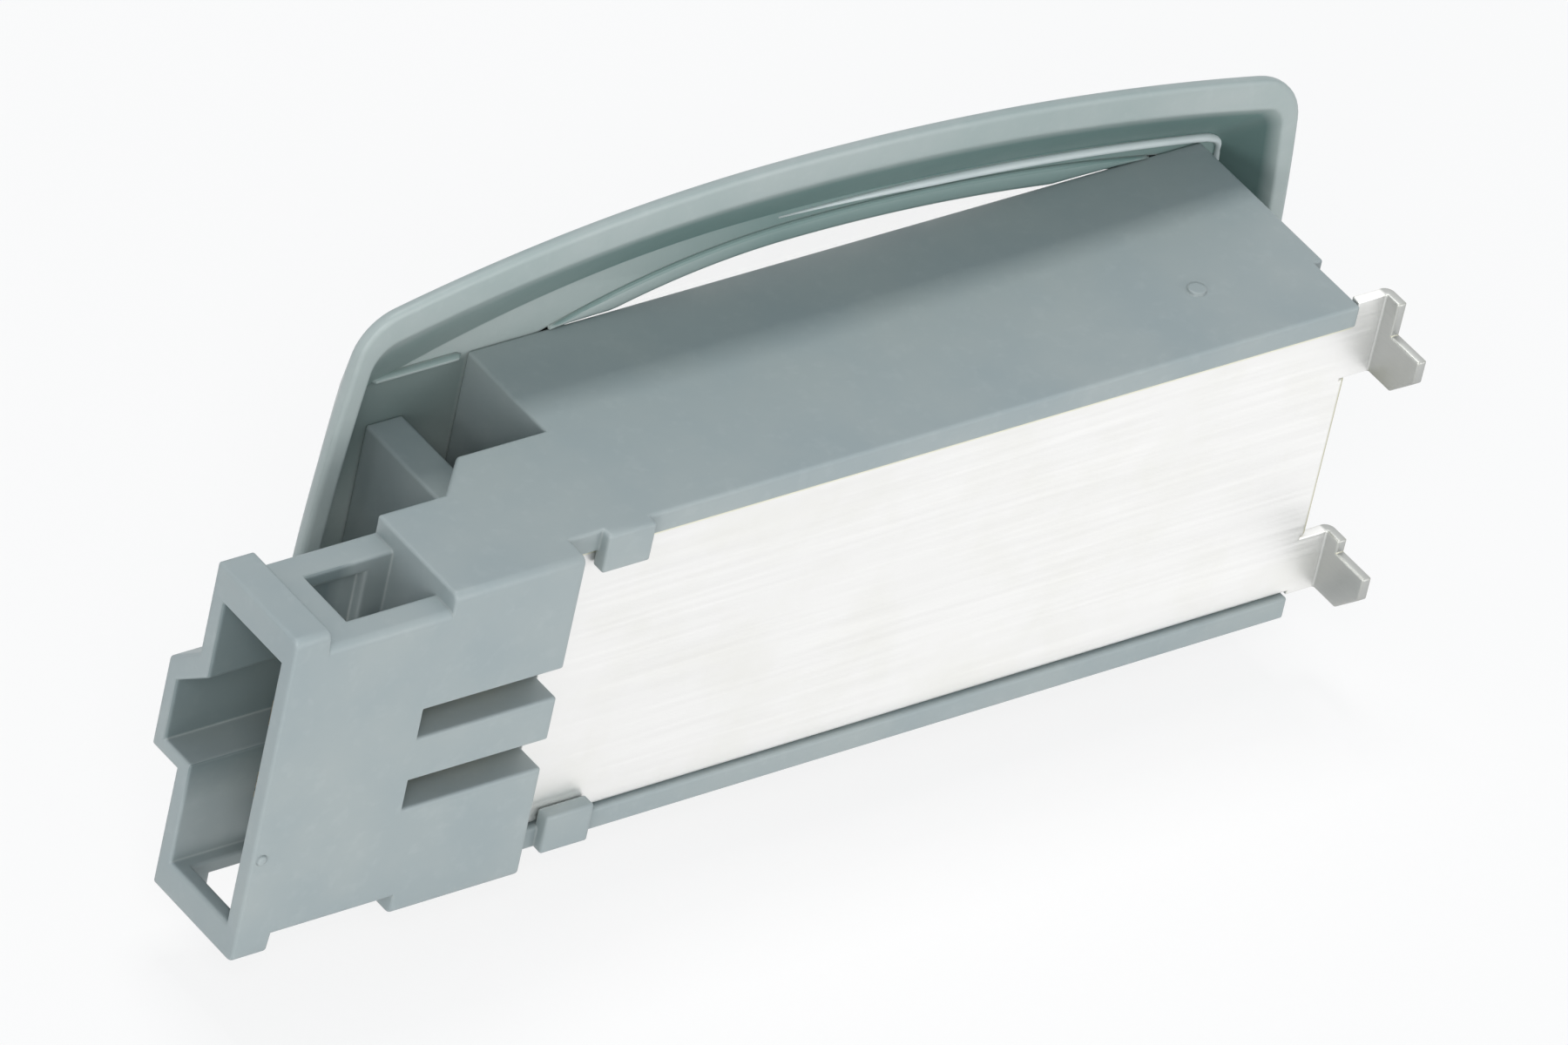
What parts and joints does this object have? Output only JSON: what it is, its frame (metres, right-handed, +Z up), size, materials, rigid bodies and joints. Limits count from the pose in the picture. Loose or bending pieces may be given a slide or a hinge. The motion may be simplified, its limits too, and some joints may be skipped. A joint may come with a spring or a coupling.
{
  "type": "courtesy light",
  "caption": "Small car courtesy light: arched bezel with a fluted clear lens, lamp box with a keyed plug socket, sprung sheet-metal back cover and a festoon bulb.",
  "frame": {"origin": "middle of the lamp box where it crosses the panel face that the bezel rim seats on", "axes": "+X along the lamp from the plug socket to the spring catches, +Y out through the lens, +Z up"},
  "size_m": [0.064, 0.0171, 0.0291],
  "materials": {
    "bezel_plastic": "satin moulded",
    "clear_lens": "clear",
    "housing_plastic": "satin moulded",
    "bright_steel": "bright plated",
    "contact_brass": "rolled strip",
    "bulb_glass": "clear",
    "bulb_cap": "nickel plated",
    "filament": "drawn wire"
  },
  "bodies": {
    "root": {"bezel": "bezel_plastic", "lens": "clear_lens", "lamp_housing": "housing_plastic", "back_cover": "bright_steel", "left_contact": "contact_brass", "right_contact": "contact_brass", "bulb_glass": "bulb_glass", "bulb_cap_left": "bulb_cap", "bulb_cap_right": "bulb_cap", "bulb_filament": "filament"}
  },
  "joints": []
}
